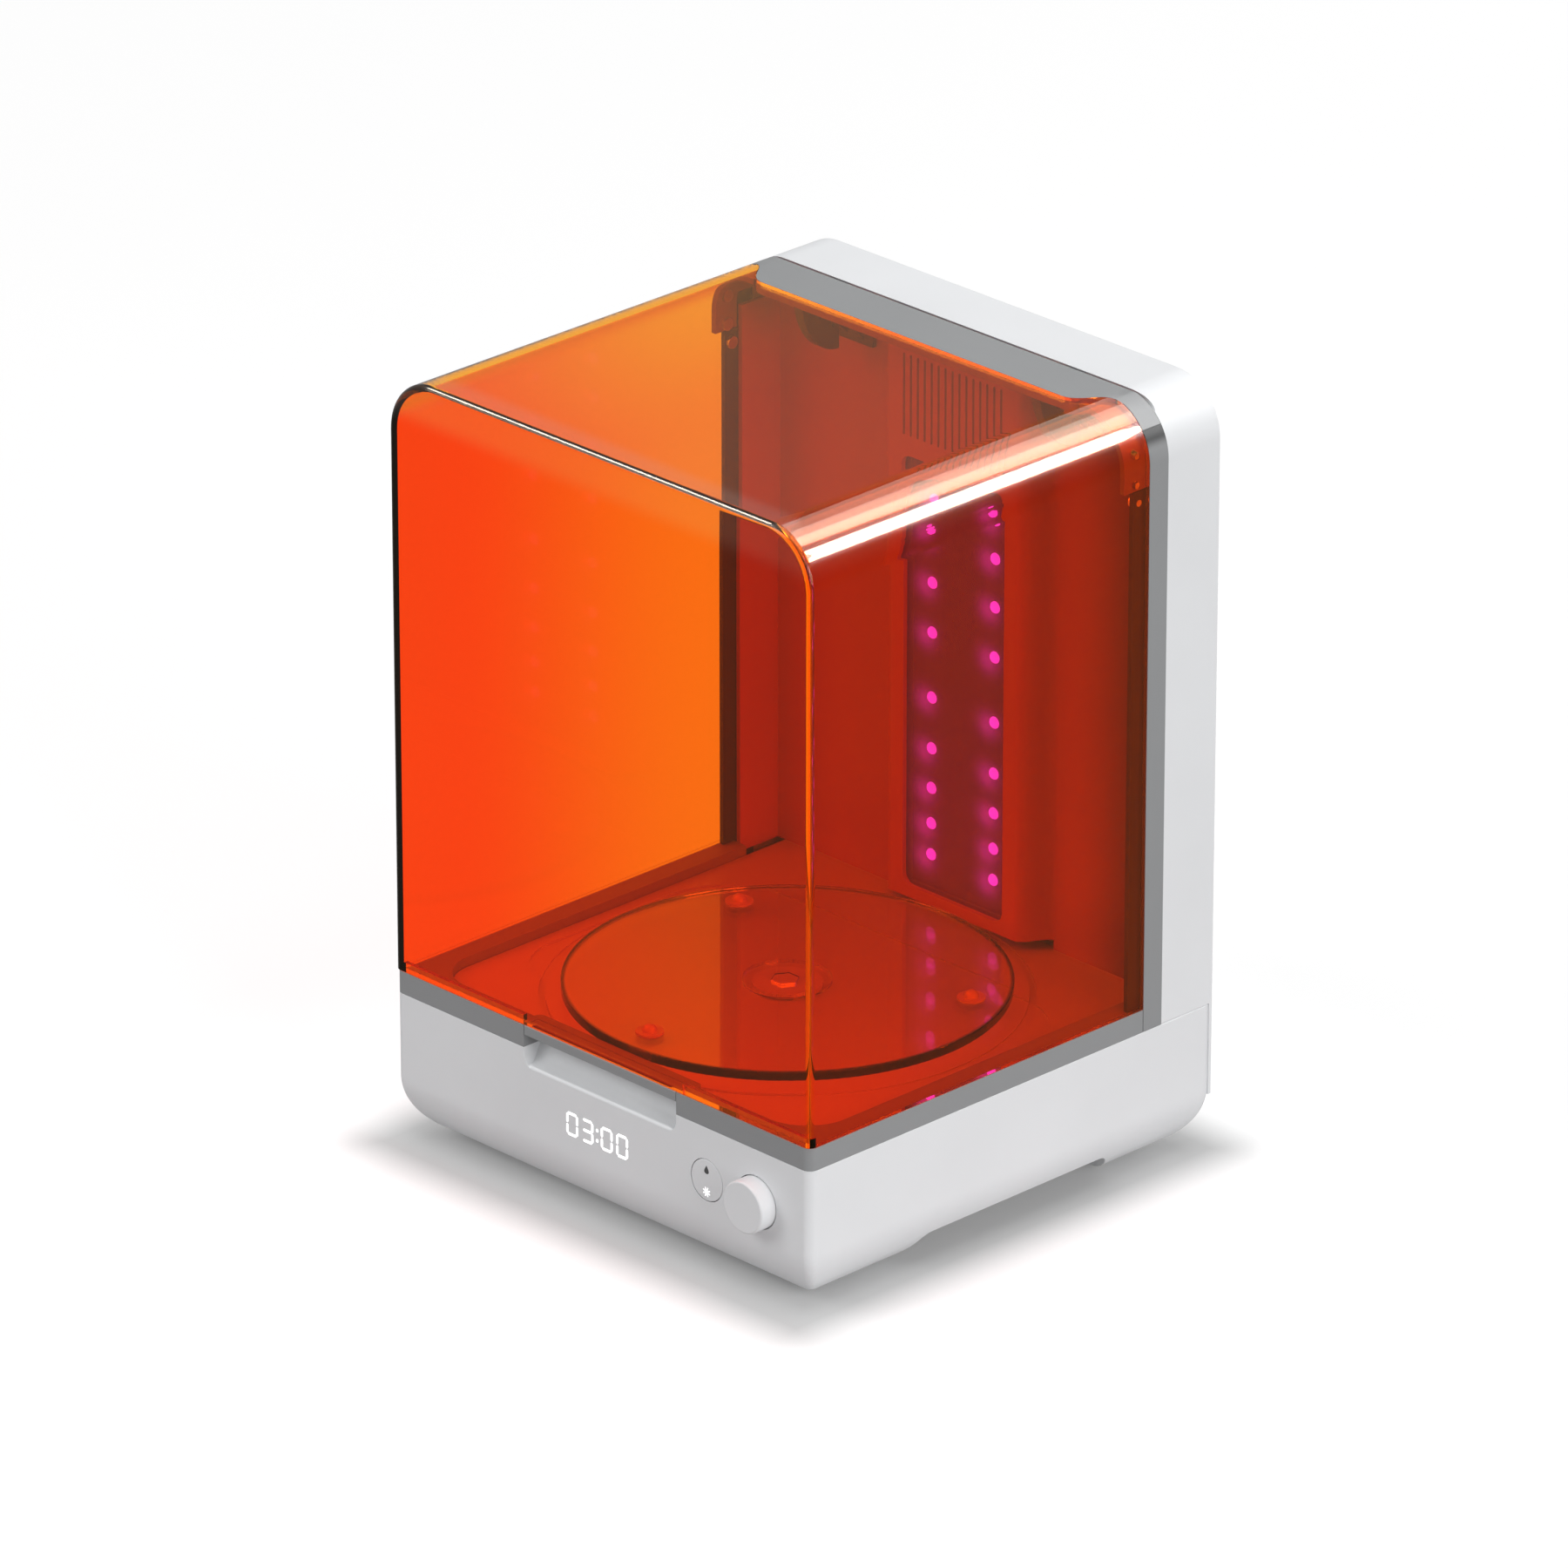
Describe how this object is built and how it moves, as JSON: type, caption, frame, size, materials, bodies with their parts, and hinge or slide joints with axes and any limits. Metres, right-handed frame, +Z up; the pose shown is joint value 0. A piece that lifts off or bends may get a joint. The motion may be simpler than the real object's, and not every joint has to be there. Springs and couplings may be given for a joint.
{
  "type": "resin wash and cure station",
  "caption": "Desktop light-curing station: rounded base with timer knob, turntable, tinted hood hinged at the rear, and a column with the lamp window.",
  "frame": {"origin": "under the middle of the station's overall box, knob included, on the surface it stands on", "axes": "+X to the right seen from the front, +Y to the back, +Z up"},
  "size_m": [0.25, 0.246, 0.35],
  "materials": {
    "shell_white": "fine satin",
    "trim_grey": "satin",
    "hood_orange": "clear, glossy, tinted",
    "chamber_grey": "satin",
    "turntable_clear": "clear, glossy",
    "window_clear": "clear",
    "dark_plastic": "satin",
    "bracket_steel": "brushed",
    "screw_steel": "polished",
    "foot_rubber": "matte",
    "board_green": "lacquered",
    "led_violet": "emissive",
    "sink_aluminium": "extruded",
    "post_plastic": "satin",
    "display_dark": "diffusing",
    "button_white": "satin",
    "knob_grey": "satin"
  },
  "bodies": {
    "station": {"base_shell": "shell_white", "column_shell": "shell_white", "back_panel": "shell_white", "bottom_plate": "shell_white", "deck_band": "trim_grey", "side_bezel_left": "trim_grey", "side_bezel_right": "trim_grey", "rear_liner": "chamber_grey", "chamber_floor": "chamber_grey", "led_window": "window_clear", "encoder": "dark_plastic", "button_guide": "dark_plastic", "button_switch": "dark_plastic", "lid_sensor": "dark_plastic", "drive_motor": "dark_plastic", "fan_frame": "dark_plastic", "power_inlet": "dark_plastic", "hinge_bracket_left": "bracket_steel", "hinge_bracket_right": "bracket_steel", "motor_bracket": "bracket_steel", "hub_bearing": "bracket_steel", "plate_screws": "screw_steel", "bracket_screws": "screw_steel", "lip_screws": "screw_steel", "panel_screws": "screw_steel", "hinge_pins": "screw_steel", "rubber_feet": "foot_rubber", "lid_bumpers": "foot_rubber", "led_board": "board_green", "main_board": "board_green", "control_board": "board_green", "leds": "led_violet", "heat_sink": "sink_aluminium", "panel_posts": "post_plastic", "board_posts": "post_plastic", "board_clips": "post_plastic", "display_module": "display_dark"},
    "lid": {"hood": "hood_orange", "hood_handle": "trim_grey", "hood_screws": "screw_steel", "lid_magnet": "screw_steel", "hinge_frame": "trim_grey", "hinge_arm_left": "dark_plastic", "hinge_arm_right": "dark_plastic"},
    "drive": {"drive_spindle": "dark_plastic"},
    "turntable": {"turntable_disc": "turntable_clear", "turntable_hub": "turntable_clear", "turntable_pegs": "turntable_clear"},
    "knob": {"knob": "knob_grey", "encoder_shaft": "screw_steel"},
    "button": {"mode_button": "button_white"},
    "fan": {"fan_rotor": "dark_plastic"}
  },
  "joints": [
    {"name": "lid_hinge", "type": "hinge", "parent": "station", "child": "lid", "pos_m": [0, 0.0894, 0.3466], "axis": [-1, 0, 0], "range_deg": [0, 65]},
    {"name": "drive_spin", "type": "hinge", "parent": "station", "child": "drive", "pos_m": [0, -0.0055, 0.07], "axis": [0, 0, 1], "continuous": true},
    {"name": "turntable_lift", "type": "slide", "parent": "drive", "child": "turntable", "axis": [0, 0, 1], "range_m": [0, 0.06]},
    {"name": "knob_turn", "type": "hinge", "parent": "station", "child": "knob", "pos_m": [0.0933, -0.115, 0.044], "axis": [0, -1, 0], "continuous": true},
    {"name": "button_press", "type": "slide", "parent": "station", "child": "button", "axis": [0, 1, 0], "range_m": [0, 0.001], "stiffness_N_per_m": 800},
    {"name": "fan_spin", "type": "hinge", "parent": "station", "child": "fan", "pos_m": [0, 0.0972, 0.3075], "axis": [0, 1, 0], "continuous": true}
  ]
}
